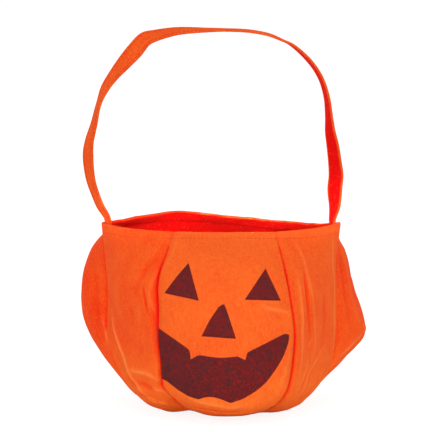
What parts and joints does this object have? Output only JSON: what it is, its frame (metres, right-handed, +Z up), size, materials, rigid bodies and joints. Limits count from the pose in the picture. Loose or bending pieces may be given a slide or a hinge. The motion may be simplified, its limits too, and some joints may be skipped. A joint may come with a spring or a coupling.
{
  "type": "pumpkin candy basket",
  "caption": "Soft felt basket shaped like a pumpkin, with sewn gores on a round base, a printed jack-o'-lantern face and a carrying strap over its open mouth.",
  "frame": {"origin": "centre of the base panel's underside, on the surface that the basket stands on", "axes": "+Z up, the printed face looks towards -Y, +X is to the right as the face is seen"},
  "size_m": [0.2426, 0.2298, 0.3228],
  "materials": {
    "felt": "brushed matte felt",
    "strap_felt": "folded and stitched felt",
    "ink": "mottled matte print on felt",
    "thread": "polyester sewing thread"
  },
  "bodies": {
    "bag": {"front_left_panel": "felt", "back_left_panel": "felt", "back_panel": "felt", "back_right_panel": "felt", "front_right_panel": "felt", "face_panel": "felt", "base_panel": "felt", "left_eye_print": "ink", "right_eye_print": "ink", "nose_print": "ink", "mouth_print": "ink", "left_strap_end": "strap_felt", "left_strap_tack": "thread", "right_strap_end": "strap_felt", "right_strap_tack": "thread", "hem_thread": "thread", "face_left_seam_thread": "thread", "left_side_seam_thread": "thread", "back_left_seam_thread": "thread", "back_right_seam_thread": "thread", "right_side_seam_thread": "thread", "face_right_seam_thread": "thread", "base_seam_thread": "thread"},
    "handle": {"handle_strap": "strap_felt", "front_strap_thread": "thread", "back_strap_thread": "thread"}
  },
  "joints": [
    {"name": "handle_swing", "type": "hinge", "parent": "bag", "child": "handle", "pos_m": [0, 0, 0.169], "axis": [1, 0, 0], "range_deg": [-100, 100]}
  ]
}
